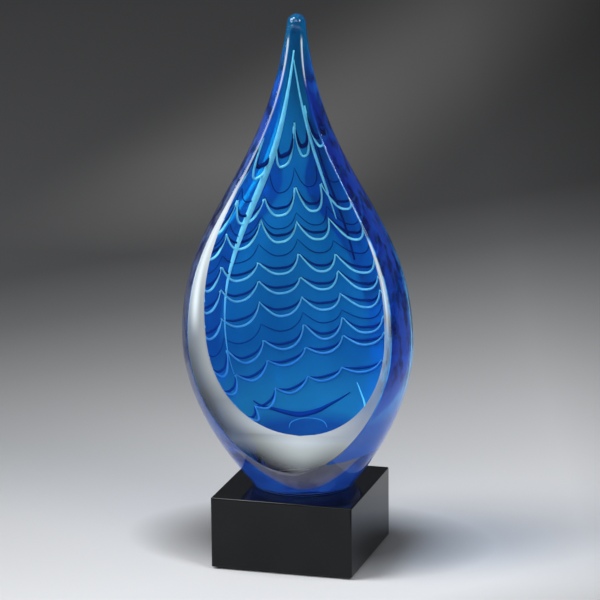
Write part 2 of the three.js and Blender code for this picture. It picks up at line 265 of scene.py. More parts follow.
def drop_outline():
    """The outer form from the edge of the foot to the top of the tip."""
    heel = GLASS_BOTTOM + HEEL_RADIUS
    belly = GLASS_BOTTOM + BELLY_HEIGHT
    neck = GLASS_TOP - TIP_RADIUS
    rise = belly - heel
    climb = neck - belly
    below = bend(
        (FOOT_RADIUS, heel),
        (FOOT_RADIUS + FOOT_FULLNESS_OUT * rise, heel + FOOT_FULLNESS_UP * rise),
        (BELLY_RADIUS, belly - BELLY_FULLNESS_BELOW * rise),
        (BELLY_RADIUS, belly),
        BELLY_STEPS,
    )
    above = bend(
        (BELLY_RADIUS, belly),
        (BELLY_RADIUS, belly + BELLY_FULLNESS_ABOVE * climb),
        (TIP_RADIUS + NECK_FLARE, neck - TIP_FULLNESS * climb),
        (TIP_RADIUS, neck),
        NECK_STEPS,
    )
    heel_turn = []
    for i in range(HEEL_STEPS):
        a = math.pi / 2 * i / HEEL_STEPS
        out = FOOT_RADIUS - HEEL_RADIUS + HEEL_RADIUS * math.sin(a)
        heel_turn.append((out, GLASS_BOTTOM + HEEL_RADIUS * (1 - math.cos(a))))
    tip = []
    for i in range(1, TIP_STEPS):
        a = math.pi / 2 * i / TIP_STEPS
        tip.append((TIP_RADIUS * math.cos(a), neck + TIP_RADIUS * math.sin(a)))
    return heel_turn + below + above[1:] + tip


def casing_wall(height):
    """Thickness of the clear casing, which thins from the belly to the neck."""
    share = clamp((CASING_THIN_TO - height) / (CASING_THIN_TO - CASING_THIN_FROM))
    return CASING_NECK_WALL + (CASING_WALL - CASING_NECK_WALL) * share * share * (3 - 2 * share)


def core_outline():
    """The colour layer from its bottom to its end inside the tip."""
    fall = CORE_BELLY - CORE_BOTTOM
    below = bend(
        (0, CORE_BOTTOM),
        (CORE_FULLNESS_FLOOR * CORE_RADIUS, CORE_BOTTOM),
        (CORE_RADIUS, CORE_BELLY - CORE_FULLNESS_BELOW * fall),
        (CORE_RADIUS, CORE_BELLY),
        CORE_FLOOR_STEPS,
    )
    neck = GLASS_TOP - TIP_RADIUS
    above = [(r - casing_wall(z), z) for r, z in drop_outline() if CORE_BELLY < z <= neck]
    tip_radius = TIP_RADIUS - CASING_NECK_WALL
    tip = []
    for i in range(1, CORE_TIP_STEPS + 1):
        a = math.pi / 2 * i / CORE_TIP_STEPS
        tip.append((tip_radius * math.cos(a), neck + tip_radius * math.sin(a)))
    return below + above + tip


CORE = core_outline()


def core_at(height):
    """Radius of the colour layer at a height, and how fast it grows with height."""
    i = 1
    while i < len(CORE) - 1 and CORE[i][1] < height:
        i += 1
    (r0, z0), (r1, z1) = CORE[i - 1], CORE[i]
    rise = max(z1 - z0, TINY)
    share = clamp((height - z0) / rise)
    return r0 + (r1 - r0) * share, (r1 - r0) / rise


def sway(height):
    """How far the middle of the hand-shaped drop lies towards +X."""
    up = clamp((height - GLASS_BOTTOM) / GLASS_HEIGHT)
    return SWAY_AT_FOOT * (1 - up) * (1 - 2 * up) + SWAY_HALFWAY * 4 * up * (1 - up)


def core_middle(height):
    """How far the middle of the colour layer lies towards +X."""
    up = clamp((height - GLASS_BOTTOM) / GLASS_HEIGHT)
    return sway(height) + CORE_OFFSET * (1 - up) ** 2


def facet_front(height):
    """The facet's distance in front of the axis at a height, with its upper end rounded off below the tip."""
    plane = FACET_AT_FOOT + (FACET_AT_TIP - FACET_AT_FOOT) * (height - GLASS_BOTTOM) / GLASS_HEIGHT
    return plane + FACET_END_CURVE * max(height - FACET_END, 0) ** 2


def depth_behind_facet(point):
    """Distance of a point in mm behind the plane of the facet."""
    up = point.z - GLASS_BOTTOM
    back = point.y * math.cos(FACET_TURN) - point.x * math.sin(FACET_TURN)
    return (back + FACET_AT_FOOT) * math.cos(FACET_LEAN) - up * math.sin(FACET_LEAN)


def beside_facet(along, behind, middle, height):
    """A point at a distance along the facet and behind a middle that lies towards +X."""
    x = along * math.cos(FACET_TURN) - behind * math.sin(FACET_TURN)
    y = along * math.sin(FACET_TURN) + behind * math.cos(FACET_TURN)
    return Vector((middle + x, y, height))


def new_object(name, bm, materials, slot, *nodes):
    """A finished piece from a bmesh in mm, which stands for CAD nodes; the slot is not used."""
    bmesh.ops.scale(bm, vec=(MM, MM, MM), verts=bm.verts)
    mesh = bpy.data.meshes.new(name)
    bm.to_mesh(mesh)
    bm.free()
    piece = bpy.data.objects.new(name, mesh)
    bpy.context.scene.collection.objects.link(piece)
    for material in materials:
        mesh.materials.append(material)
    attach(piece, "root")
    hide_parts(*nodes)
    return piece


def close_rows(bm, rows):
    """Smooth walls between closed rows of vertices, and a flat face at both ends."""
    count = len(rows[0])
    for low, high in zip(rows, rows[1:]):
        for i in range(count):
            k = (i + 1) % count
            bm.faces.new((low[i], low[k], high[k], high[i])).smooth = True
    bm.faces.new(list(reversed(rows[0])))
    bm.faces.new(rows[-1])


def steps_between(first, last, count):
    """Even steps from first on, without last."""
    return [first + (last - first) * i / count for i in range(count)]


def level_points(radius, height):
    """One level of the ground drop: along the facet, round its right arris, the back and the left arris.

    Along the facet come the clear rim on the left, the window on the core, and the clear rim on the right.
    """
    front = min(facet_front(height) - sway(height) * math.sin(FACET_TURN), radius)
    half = math.sqrt(radius**2 - front**2)
    edge = min(ARRIS, ARRIS_SHARE * half)
    start = math.acos(front / radius) + edge / radius
    offset = core_middle(height) - sway(height)
    core_front = front - offset * math.sin(FACET_TURN)
    core_radius = core_at(height)[0] if CORE_BOTTOM < height < CORE_TOP else 0
    core_half = math.sqrt(max(core_radius**2 - core_front**2, 0))
    reach = half - edge
    ends = [clamp(offset * math.cos(FACET_TURN) + side * core_half, -reach, reach) for side in (-1, 1)]
    flat = steps_between(-reach, ends[0], RIM_STEPS)
    flat += steps_between(ends[0], ends[1], WINDOW_STEPS)
    flat += steps_between(ends[1], reach, RIM_STEPS) + [reach]
    points = [(along, -front) for along in flat]
    rounding = []
    corners = ((reach, -front), (half, -front), (radius * math.sin(start), -radius * math.cos(start)))
    for i in range(1, ARRIS_STEPS):
        t = i / ARRIS_STEPS
        rounding.append(weigh(((1 - t) ** 2, 2 * t * (1 - t), t * t), corners))
    arc = []
    for i in range(ROUND_STEPS + 1):
        a = start + (2 * math.pi - 2 * start) * i / ROUND_STEPS
        arc.append((radius * math.sin(a), -radius * math.cos(a)))
    mirrored = [(-x, y) for x, y in reversed(rounding)]
    return [beside_facet(x, y, sway(height), height) for x, y in points + rounding + arc + mirrored]


def rim_place(step):
    """0 at the left arris, 0.5 all across the window and 1 at the right arris."""
    from_left = min(step, RIM_STEPS)
    from_right = max(step - RIM_STEPS - WINDOW_STEPS, 0)
    return (from_left + from_right) / (2 * RIM_STEPS)


def make_drop(materials):
    """The fused clear glass: round behind, with the polished facet and its softened arris in front."""
    bm = bmesh.new()
    across = bm.loops.layers.uv.new(RIM_UV)
    rows = []
    for radius, height in drop_outline():
        rows.append([bm.verts.new(p) for p in level_points(radius, height)])
    count = len(rows[0])
    for low, high in zip(rows, rows[1:]):
        for j in range(count):
            k = (j + 1) % count
            face = bm.faces.new((low[j], low[k], high[k], high[j]))
            face.smooth = True
            if j < FLAT_STEPS:
                face.smooth = high[j].co.z > FACET_END
                face.material_index = WINDOW if RIM_STEPS <= j < RIM_STEPS + WINDOW_STEPS else RIM
                for loop, step in zip(face.loops, (j, j + 1, j + 1, j)):
                    loop[across].uv = (rim_place(step), (loop.vert.co.z - GLASS_BOTTOM) / GLASS_HEIGHT)
    for row, height in ((rows[0], GLASS_BOTTOM), (rows[-1], GLASS_TOP)):
        at_foot = row is rows[0]
        middle = bm.verts.new((sway(height), 0, height))
        for j in range(count):
            k = (j + 1) % count
            face = bm.faces.new((row[k], row[j], middle) if at_foot else (row[j], row[k], middle))
            face.smooth = not at_foot
            face.material_index = FOOT if at_foot else ROUND
    bmesh.ops.remove_doubles(bm, verts=bm.verts, dist=WELD)
    bmesh.ops.dissolve_degenerate(bm, edges=bm.edges, dist=SLIVER)
    bmesh.ops.recalc_face_normals(bm, faces=bm.faces)
    return new_object("glass_drop", bm, materials, "clear_glass", "casing_glass", "core_glass")


def make_colour_layer(material):
    """The coloured gather between casing and core, as one thin wall that is open at the facet."""
    bm = bmesh.new()
    rows = []
    for layer_radius, height in CORE:
        radius = max(layer_radius, CORE_LEAST_RADIUS)
        front = facet_front(height) - core_middle(height) * math.sin(FACET_TURN)
        start = math.acos(min(front / radius, 1))
        row = []
        for i in range(LAYER_STEPS + 1):
            a = start + (2 * math.pi - 2 * start) * i / LAYER_STEPS
            point = beside_facet(radius * math.sin(a), -radius * math.cos(a), core_middle(height), height)
            row.append(bm.verts.new(point))
        rows.append(row)
    for low, high in zip(rows, rows[1:]):
        for j in range(LAYER_STEPS):
            bm.faces.new((low[j], low[j + 1], high[j + 1], high[j])).smooth = True
    bmesh.ops.remove_doubles(bm, verts=bm.verts, dist=WELD)
    bmesh.ops.recalc_face_normals(bm, faces=bm.faces)
    return new_object("colour_gather", bm, [material], "azure_glass", "colour_layer")


def turn_level(turn):
    """Height of a turn in mm before the comb drew it up."""
    return CORE_BOTTOM + turn[0] * (GLASS_TOP - CORE_BOTTOM)


def turn_drift(turn):
    """How far the strokes of the comb have drifted at the level of a turn, in degrees."""
    return STROKE_DRIFT_ANGLE * (1 - turn_level(turn) / STROKE_LEVEL)


def from_middle(angle):
    """0 in the middle between two strokes of the comb and 1 on a stroke."""
    i = 1
    while i < len(STROKES) - 1 and STROKES[i] < angle:
        i += 1
    share = (angle - STROKES[i - 1]) / (STROKES[i] - STROKES[i - 1])
    return abs(2 * share - 1)


def thread_point(turn, angle, lift):
    """A point of a turn, lifted off the white thread between the strokes, and the layer's normal there."""
    share, draw, lean_angle = turn[:3]
    stroke = from_middle(angle - turn_drift(turn))
    level = turn_level(turn) + lift * LIFT_SHARE * (1 - LIFT_CLOSING * stroke**2)
    lean = math.tan(math.radians(lean_angle)) * core_at(level)[0] * math.sin(math.radians(angle))
    uneven = 1 + UNEVENNESS * math.sin(math.radians(UNEVEN_TURN * angle) + UNEVEN_RISE * share)
    cusp = draw * uneven * stroke ** (CUSP_POWER + draw / CUSP_DRAW)
    height = level + cusp + lean + THREAD_PITCH * angle / 360
    radius, slope = core_at(min(height, THREAD_TOP))
    length = math.hypot(1, slope)
    around = math.pi / 2 - math.radians(angle + HOOK_ANGLE * stroke**HOOK_POWER)
    normal = Vector((math.cos(around), math.sin(around), -slope)).normalized()
    r = radius + THREAD_OUT / length
    z = height - THREAD_OUT * slope / length
    return Vector((r * math.cos(around) + core_middle(z), r * math.sin(around), z)), normal


def add_tube(bm, path, flatness=1.0):
    """A round or flattened tube through points with the layer's normal and a radius at each of them."""
    rings = []
    for i, (point, normal, radius) in enumerate(path):
        along = (path[min(i + 1, len(path) - 1)][0] - path[max(i - 1, 0)][0]).normalized()
        across = along.cross(normal).normalized()
        ring = []
        for k in range(TUBE_SIDES):
            a = 2 * math.pi * k / TUBE_SIDES
            out = across * math.cos(a) + normal * (flatness * math.sin(a))
            ring.append(bm.verts.new(point + out * radius))
        rings.append(ring)
    close_rows(bm, rings)
    bmesh.ops.recalc_face_normals(bm, faces=bm.faces)


def make_thread(name, turn, lift, thickness, thinning, material, slot, *nodes):
    """One turn of a trail, thinner where the comb drew it out, with its ends ground off at the facet."""
    path = []
    angle = -THREAD_SWEEP
    while angle <= THREAD_SWEEP:
        point, normal = thread_point(turn, angle, lift)
        if depth_behind_facet(point) > THREAD_END_DEPTH:
            stroke = from_middle(angle - turn_drift(turn))
            path.append((point, normal, thickness * (THREAD_FULL - thinning * stroke**2)))
        angle += THREAD_STEP
    bm = bmesh.new()
    add_tube(bm, path)
    return new_object(name, bm, [material], slot, *nodes)


def make_streak(name, stations, material, slot, outside=STREAK_OUT, flatness=1.0):
    """A streak along the colour layer, some way outside it, through stations of angle, height and radius."""
    path = []
    for i in range(len(stations) - 1):
        ends = [stations[clamp(i + k, 0, len(stations) - 1)] for k in (-1, 0, 1, 2)]
        is_last = i == len(stations) - 2
        for step in range(STREAK_STEPS + is_last):
            u = step / STREAK_STEPS
            shares = (
                (-u + 2 * u**2 - u**3) / 2,
                (2 - 5 * u**2 + 3 * u**3) / 2,
                (u + 4 * u**2 - 3 * u**3) / 2,
                (u**3 - u**2) / 2,
            )
            angle, height, radius = weigh(shares, ends)
            out, slope = core_at(height)
            around = math.pi / 2 - math.radians(angle)
            normal = Vector((math.cos(around), math.sin(around), -slope)).normalized()
            point = Vector((out * math.cos(around) + core_middle(height), out * math.sin(around), height))
            path.append((point + normal * outside, normal, radius))
    bm = bmesh.new()
    add_tube(bm, path, flatness)
    return new_object(name, bm, [material], slot)


def make_block(material):
    """The polished block with finely rounded edges."""
    low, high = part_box("base_block")
    bm = bmesh.new()
    bmesh.ops.create_cube(bm, size=1)
    for vertex in bm.verts:
        share = vertex.co + Vector((0.5, 0.5, 0.5))
        vertex.co = Vector(low[k] + (high[k] - low[k]) * share[k] for k in range(3)) / MM
    bmesh.ops.bevel(
        bm,
        geom=bm.edges[:],
        offset=BLOCK_EDGE,
        segments=BLOCK_EDGE_STEPS,
        profile=0.5,
        affect="EDGES",
    )
    for face in bm.faces:
        face.smooth = face.calc_area() < BLOCK_FLAT_AREA
    return new_object("polished_block", bm, [material], "black_glass", "base_block")


def make_film(material):
    """The thin round film of adhesive, with a slightly bulging, uneven edge."""
    low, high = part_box("foot_adhesive")
    middle = (low + high) / 2 / MM
    radius = (high.x - low.x) / 2 / MM
    thickness = (high.z - low.z) / MM
    bm = bmesh.new()
    rows = []
    for share, out in FILM_EDGE:
        row = []
        for i in range(FILM_STEPS):
            a = 2 * math.pi * i / FILM_STEPS
            wobble = sum(size * math.sin(count * a + start) for size, count, start in FILM_WAVES)
            r = radius + (out + wobble)
            z = low.z / MM + thickness * share
            row.append(bm.verts.new((middle.x + r * math.cos(a), middle.y + r * math.sin(a), z)))
        rows.append(row)
    close_rows(bm, rows)
    return new_object("adhesive_film", bm, [material], "adhesive", "foot_adhesive")


def make_felt(material):
    """The felt pad: a pressed sheet with rounded corners and a soft, uneven edge."""
    low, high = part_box("felt_pad")
    half = (high.x - low.x) / 2 / MM
    outline = []
    for turn in range(4):
        quarter = math.pi / 2 * turn + math.pi / 4
        for i in range(FELT_CORNER_STEPS + 1):
            a = math.pi / 2 * (turn + i / FELT_CORNER_STEPS)
            x = (half - FELT_CORNER) * math.copysign(1, math.cos(quarter)) + FELT_CORNER * math.cos(a)
            y = (half - FELT_CORNER) * math.copysign(1, math.sin(quarter)) + FELT_CORNER * math.sin(a)
            outline.append(Vector((x, y, 0)))
    bm = bmesh.new()
    rows = []
    for share, inset in FELT_EDGE:
        row = []
        for point in outline:
            wave = point.x * FELT_WAVES[0] + point.y * FELT_WAVES[1] + share * FELT_WAVES[2]
            out = point * (1 - (inset + FELT_RAGGED * math.sin(wave)) / half)
            z = low.z / MM + (high.z - low.z) / MM * share
            row.append(bm.verts.new((out.x, out.y, z)))
        rows.append(row)
    close_rows(bm, rows)
    return new_object("pressed_felt", bm, [material], "felt", "felt_pad")


class Nodes:
    """Short calls for building the node tree of a material or a world."""

    def __init__(self, owner):
        owner.use_nodes = True
        self.tree = owner.node_tree
        self.tree.nodes.clear()

    def put(self, value, target):
        """Links a socket to an input, or sets a constant on it."""
        if isinstance(value, bpy.types.NodeSocket):
            self.tree.links.new(value, target)
        else:
            target.default_value = value

    def set(self, node, socket, value):
        self.put(value, node.inputs[socket])

    def add(self, kind, **inputs):
        node = self.tree.nodes.new(kind)
        for name, value in inputs.items():
            self.set(node, name.replace("_", " "), value)
        return node

    def coord(self):
        """Place on the object in metres."""
        return self.add("ShaderNodeTexCoord").outputs["Object"]

    def ramp(self, factor, *stops, ease=False):
        node = self.tree.nodes.new("ShaderNodeValToRGB")
        if ease:
            node.color_ramp.interpolation = "EASE"
        elements = node.color_ramp.elements
        while len(elements) < len(stops):
            elements.new(0.5)
        for element, (place, colour) in zip(elements, stops):
            element.position = place
            element.color = colour
        self.put(factor, node.inputs[0])
        return node.outputs[0]

    def blend(self, factor, first, second, kind="MIX"):
        """A colour between two colours."""
        node = self.tree.nodes.new("ShaderNodeMix")
        node.data_type = "RGBA"
        node.blend_type = kind
        for target, value in zip((node.inputs[0], *node.inputs[6:8]), (factor, first, second)):
            self.put(value, target)
        return node.outputs[2]

    def mix(self, factor, first, second):
        """A surface between two surfaces."""
        node = self.tree.nodes.new("ShaderNodeMixShader")
        for target, value in zip(node.inputs, (factor, first, second)):
            self.put(value, target)
        return node.outputs[0]

    def noise(self, scale, detail=3.0, vector=None):
        vector = self.coord() if vector is None else vector
        return self.add("ShaderNodeTexNoise", Scale=scale, Detail=detail, Vector=vector).outputs["Fac"]

    def between(self, value, low, high):
        """0 where the value is low and 1 where it is high."""
        return self.add("ShaderNodeMapRange", Value=value, From_Min=low, From_Max=high).outputs[0]

    def math(self, operation, *values):
        node = self.add("ShaderNodeMath")
        node.operation = operation
        for target, value in zip(node.inputs, values):
            self.put(value, target)
        return node.outputs[0]

    def times(self, first, second):
        return self.math("MULTIPLY", first, second)

    def measure(self, operation, *vectors):
        """A number worked out from vectors."""
        node = self.add("ShaderNodeVectorMath")
        node.operation = operation
        for target, vector in zip(node.inputs, vectors):
            self.put(vector, target)
        return node.outputs["Value"]

    def opal(self, colour, share, through, from_behind=0.5):
        """A share of opal glass in clear glass, which takes a part of its light from behind."""
        front = self.add("ShaderNodeBsdfDiffuse", Color=colour)
        back = self.add("ShaderNodeBsdfTranslucent", Color=colour)
        return self.mix(share, through.outputs[0], self.mix(from_behind, front.outputs[0], back.outputs[0]))

    def bump(self, height, strength, distance):
        return self.add("ShaderNodeBump", Height=height, Strength=strength, Distance=distance).outputs[0]

    def finish(self, surface, kind="ShaderNodeOutputMaterial"):
        self.put(surface, self.tree.nodes.new(kind).inputs["Surface"])


def grey(value):
    return (value, value, value, 1)


def pale(value):
    """The slightly cool grey of the clear glass, here the tone of the rim's painted light."""
    return (0.93 * value, 1.03 * value, 1.05 * value, 1)


# Painted light and shade of the clear rim by share of the drop's height: beside the window, at the left arris
# and at the right arris; above that all of it turns to the painted white highlight of the neck
RIM_LIGHT_INNER = [
    (0.0, 0.0),
    (0.04, 0.02),
    (0.061, 0.1),
    (0.096, 0.4),
    (0.1285, 0.62),
    (0.152, 0.52),
    (0.21, 0.28),
    (0.27, 0.36),
    (0.36, 0.35),
    (0.425, 0.42),
    (0.48, 0.6),
    (0.6, 0.85),
]
RIM_LIGHT_LEFT = [
    (0.0, 0.0),
    (0.1, 0.0),
    (0.13, 0.12),
    (0.152, 0.06),
    (0.2, 0.06),
    (0.3, 0.12),
    (0.36, 0.25),
    (0.42, 0.5),
    (0.5, 0.72),
    (0.6, 0.85),
]
RIM_LIGHT_RIGHT = [
    (0.0, 0.0),
    (0.06, 0.05),
    (0.096, 0.2),
    (0.13, 0.38),
    (0.2, 0.3),
    (0.28, 0.12),
    (0.36, 0.25),
    (0.45, 0.6),
    (0.55, 0.75),
]
NECK_HIGHLIGHT = (0.74, (0.72, 0.88, 0.95, 1))
# How much of the rim's painted light shows: on the left, and on the right, where it breaks up into short
# painted highlight lines
RIM_LIGHT_SHARE_LEFT = [
    (0.04, 0.2),
    (0.06, 0.4),
    (0.1, 0.8),
    (0.3, 0.85),
    (0.45, 0.8),
    (0.6, 0.75),
    (0.68, 0.45),
    (0.78, 0.35),
    (0.86, 0.5),
    (0.945, 0.55),
    (0.958, 0.0),
]
RIM_LIGHT_SHARE_RIGHT = [
    (0.04, 0.2),
    (0.06, 0.4),
    (0.1, 0.8),
    (0.14, 0.8),
    (0.2, 0.65),
    (0.27, 0.55),
    (0.36, 0.5),
    (0.42, 0.6),
    (0.54, 0.6),
    (0.55, 0.1),
    (0.585, 0.1),
    (0.595, 0.55),
    (0.625, 0.55),
    (0.635, 0.08),
    (0.665, 0.08),
    (0.675, 0.5),
    (0.725, 0.4),
    (0.735, 0.0),
    (0.85, 0.0),
    (0.88, 0.4),
    (0.945, 0.5),
    (0.958, 0.0),
]


def add_rim_painted_light(n, surface):
    """The glass of the facet's rim, with a matt colour of painted light, shade and highlights that stands for
    the light gathered in the thick glass.
    """
    spot = n.add("ShaderNodeUVMap")
    spot.uv_map = RIM_UV
    place = n.add("ShaderNodeSeparateXYZ", Vector=spot.outputs[0])
    across = place.outputs["X"]
    up = place.outputs["Y"]
    inner, left, right = (
        n.ramp(up, *((v, pale(c)) for v, c in shades), NECK_HIGHLIGHT)
        for shades in (RIM_LIGHT_INNER, RIM_LIGHT_LEFT, RIM_LIGHT_RIGHT)
    )
    to_left = n.ramp(across, (0.0, grey(1)), (0.5, grey(0)), ease=True)
    to_right = n.ramp(across, (0.5, grey(0)), (1.0, grey(1)), ease=True)
    shade = n.blend(to_right, n.blend(to_left, inner, left), right)
    # Painted highlight: a soft bright band along the middle of each rim, partway up the drop
    middle = n.ramp(
        across,
        (0.04, grey(0)),
        (0.2, grey(1)),
        (0.38, grey(0)),
        (0.6, grey(0)),
        (0.72, grey(1)),
        (0.9, grey(0)),
        ease=True,
    )
    lit = n.ramp(up, (0.33, grey(0)), (0.42, grey(1)), (0.6, grey(1)), (0.7, grey(0)), ease=True)
    shade = n.blend(n.times(middle, lit), shade, pale(0.92))
    # The rim's painted light, shade and highlight, as a matt colour
    painted_light = n.add("ShaderNodeBsdfDiffuse", Color=shade)
    left_light_share, right_light_share = (
        n.ramp(up, *((v, grey(c)) for v, c in shares)) for shares in (RIM_LIGHT_SHARE_LEFT, RIM_LIGHT_SHARE_RIGHT)
    )
    on_right = n.ramp(across, (0.42, grey(0)), (0.58, grey(1)), ease=True)
    light_share = n.blend(on_right, left_light_share, right_light_share)
    thin = n.ramp(across, (0.25, grey(1)), (0.42, grey(0)), (0.58, grey(0)), (0.75, grey(1)))
    narrowed = n.blend(n.between(up, 0.58, 0.7), grey(1), thin)
    return n.mix(n.times(light_share, narrowed), surface, painted_light.outputs[0])


def clear_glass(name, facet_rim=False):
    """Polished clear glass that lets the lamps light what lies inside it, with painted shade near the foot:
    darker and violet, in patches.
    """
    material = bpy.data.materials.new(name)
    n = Nodes(material)
    body = n.add("ShaderNodeBsdfPrincipled", Roughness=0.0, IOR=1.5)
    coord = n.coord()
    # Painted shade near the foot: the glass darker and more violet there, in patches
    raised = n.between(n.add("ShaderNodeSeparateXYZ", Vector=coord).outputs["Z"], 0.045, 0.064)
    foot_painted_shade = n.ramp(n.noise(95.0, 2.0, coord), (0.4, (0.22, 0.2, 0.4, 1)), (0.6, (0.72, 0.66, 0.76, 1)))
    n.set(body, "Base Color", n.blend(raised, foot_painted_shade, (0.97, 0.99, 1.0, 1)))
    n.set(body, "Transmission Weight", 1.0)
    surface = body.outputs[0]
    # The rim gets painted light, shade and highlights
    if facet_rim:
        surface = add_rim_painted_light(n, surface)
    through = n.add("ShaderNodeBsdfTransparent", Color=(0.96, 0.98, 1.0, 1))
    is_lamp = n.add("ShaderNodeLightPath").outputs["Is Shadow Ray"]
    n.finish(n.mix(is_lamp, surface, through.outputs[0]))
    return material


def glued_foot():
    """The foot where it is glued down: the black block shows through the adhesive."""
    material = bpy.data.materials.new("glued_foot")
    n = Nodes(material)
    shade = n.ramp(n.noise(60.0), (0.3, (0.004, 0.005, 0.008, 1)), (0.7, (0.008, 0.009, 0.014, 1)))
    body = n.add("ShaderNodeBsdfDiffuse", Color=shade)
    n.finish(body.outputs[0])
    return material


def azure_glass():
    """Azure glass, partly clear and partly opal, in drawn streaks.

    Its outer side is tinted by the angle of view: violet blue with dark spots, with painted light as a bright
    line at the right edge and a grey sheen at the left one. Inside, painted light and shade make the opal
    lighter at the right and towards the bottom and darker at the left.
    """
    material = bpy.data.materials.new("azure_glass")
    n = Nodes(material)
    coord = n.coord()
    stretched = n.add("ShaderNodeMapping", Vector=coord, Scale=(1.0, 1.0, 0.25))
    streaks = n.noise(60.0, 4.0, stretched.outputs[0])
    place = n.add("ShaderNodeSeparateXYZ", Vector=coord)
    sideways = place.outputs["X"]
    height = place.outputs["Z"]
    tip = n.between(height, 0.255, 0.275)
    neck = n.between(height, 0.19, 0.25)
    bottom = n.between(height, 0.105, 0.08)
    below_ring = n.between(height, 0.074, 0.068)
    left = n.between(sideways, 0.0, -0.045)
    right = n.between(sideways, 0.005, 0.04)

    clear = n.ramp(streaks, (0.35, (0.002, 0.3, 0.72, 1)), (0.65, (0.008, 0.38, 0.84, 1)))
    through = n.add("ShaderNodeBsdfTransparent", Color=clear)
    milk = n.ramp(streaks, (0.35, (0.004, 0.21, 0.78, 1)), (0.65, (0.008, 0.28, 0.92, 1)))
    milk = n.blend(neck, milk, (0.003, 0.16, 0.38, 1))
    # Painted shade and light: the opal darker at the left, lighter at the right and towards the bottom
    milk = n.blend(left, milk, (0.005, 0.15, 0.66, 1))
    milk = n.blend(right, milk, (0.009, 0.31, 0.97, 1))
    milk = n.blend(bottom, milk, (0.03, 0.47, 1.0, 1))
    milk = n.blend(below_ring, milk, (0.02, 0.17, 0.72, 1))
    inside = n.opal(milk, 0.42, through)

    facing = n.add("ShaderNodeLayerWeight", Blend=0.5).outputs["Facing"]
    wall = n.ramp(
        facing,
        (0.06, (0.006, 0.018, 0.14, 1)),
        (0.16, (0.01, 0.03, 0.26, 1)),
        (0.26, (0.012, 0.08, 0.46, 1)),
    )
    # Painted light on the outer side: a bright line at the right edge, and grey light at the left edge where
    # the wall is seen edge-on
    painted_bright_edge = n.times(n.between(facing, 0.265, 0.29), n.between(sideways, 0.0, 0.03))
    wall = n.blend(painted_bright_edge, wall, (0.1, 0.5, 0.9, 1))
    painted_grey_edge = n.times(n.between(facing, 0.12, 0.22), n.between(sideways, -0.01, -0.035))
    wall = n.blend(painted_grey_edge, wall, (0.12, 0.14, 0.2, 1))
    squeezed = n.add("ShaderNodeMapping", Vector=coord, Scale=(1.0, 1.0, 0.5))
    spots = n.ramp(n.noise(170.0, 4.0, squeezed.outputs[0]), (0.4, grey(0.9)), (0.53, grey(0.0)))
    dark = n.times(spots, n.between(height, 0.08, 0.11))
    violet = n.blend(dark, wall, (0.004, 0.007, 0.05, 1))
    violet = n.blend(bottom, violet, (0.03, 0.11, 0.37, 1))
    skin = n.blend(n.between(facing, 0.02, 0.07), milk, violet)
    skin = n.blend(tip, skin, (0.005, 0.12, 0.25, 1))
    thickness = n.blend(n.between(facing, 0.0, 0.08), grey(0.55), grey(0.8))
    outside = n.opal(skin, thickness, through)

    is_inside = n.add("ShaderNodeNewGeometry").outputs["Backfacing"]
    surface = n.mix(is_inside, outside, inside)
    shadow = n.add("ShaderNodeBsdfTransparent", Color=(0.55, 0.62, 0.7, 1))
    is_lamp = n.add("ShaderNodeLightPath").outputs["Is Shadow Ray"]
    n.finish(n.mix(is_lamp, surface, shadow.outputs[0]))
    return material


def thread_glass(name, colour, opacity, deep_colour, deep_opacity):
    """Opal glass drawn out in a thread, uneven along its length and clearer deep in the belly."""
    material = bpy.data.materials.new(name)
    n = Nodes(material)
    raised = n.between(n.add("ShaderNodeSeparateXYZ", Vector=n.coord()).outputs["Z"], 0.095, 0.16)
    even = n.blend(raised, deep_colour, colour)
    thinned = n.ramp(n.noise(220.0, 2.0), (0.3, grey(0.12)), (0.6, grey(0.0)))
    shade = n.blend(thinned, even, (0.0, 0.02, 0.1, 1))
    through = n.add("ShaderNodeBsdfTransparent", Color=deep_colour)
    share = n.blend(raised, grey(deep_opacity), grey(opacity))
    n.finish(n.opal(shade, share, through, from_behind=0.1))
    return material


def black_glass():
    """Polished opaque black with the faint marks of polishing and handling."""
    material = bpy.data.materials.new("black_glass")
    n = Nodes(material)
    smudge = n.noise(45.0, 5.0)
    shade = n.ramp(smudge, (0.3, (0.002, 0.0025, 0.003, 1)), (0.75, (0.004, 0.005, 0.006, 1)))
    body = n.add("ShaderNodeBsdfPrincipled", IOR=1.32, Base_Color=shade)
    n.set(body, "Roughness", n.ramp(smudge, (0.3, grey(0.02)), (0.8, grey(0.07))))
    n.set(body, "Normal", n.bump(n.noise(900.0, 2.0), 0.02, 0.0002))
    n.finish(body.outputs[0])
    return material


def adhesive():
    """A thin film of clear cured adhesive."""
    material = bpy.data.materials.new("adhesive")
    n = Nodes(material)
    shade = n.ramp(n.noise(150.0), (0.3, grey(0.55)), (0.7, (0.7, 0.72, 0.73, 1)))
    body = n.add("ShaderNodeBsdfPrincipled", IOR=1.48, Base_Color=shade)
    n.set(body, "Roughness", n.ramp(n.noise(300.0), (0.3, grey(0.12)), (0.7, grey(0.3))))
    n.set(body, "Transmission Weight", 0.6)
    n.finish(body.outputs[0])
    return material


def felt():
    """Dense black felt: matted fibres with a soft sheen."""
    material = bpy.data.materials.new("felt")
    n = Nodes(material)
    fibres = n.noise(2600.0, 6.0)
    shade = n.ramp(fibres, (0.3, (0.006, 0.006, 0.007, 1)), (0.75, (0.03, 0.03, 0.032, 1)))
    body = n.add("ShaderNodeBsdfPrincipled", Roughness=0.95, Base_Color=shade)
    n.set(body, "Sheen Weight", 0.4)
    n.set(body, "Normal", n.bump(fibres, 0.6, 0.0004))
    n.finish(body.outputs[0])
    return material


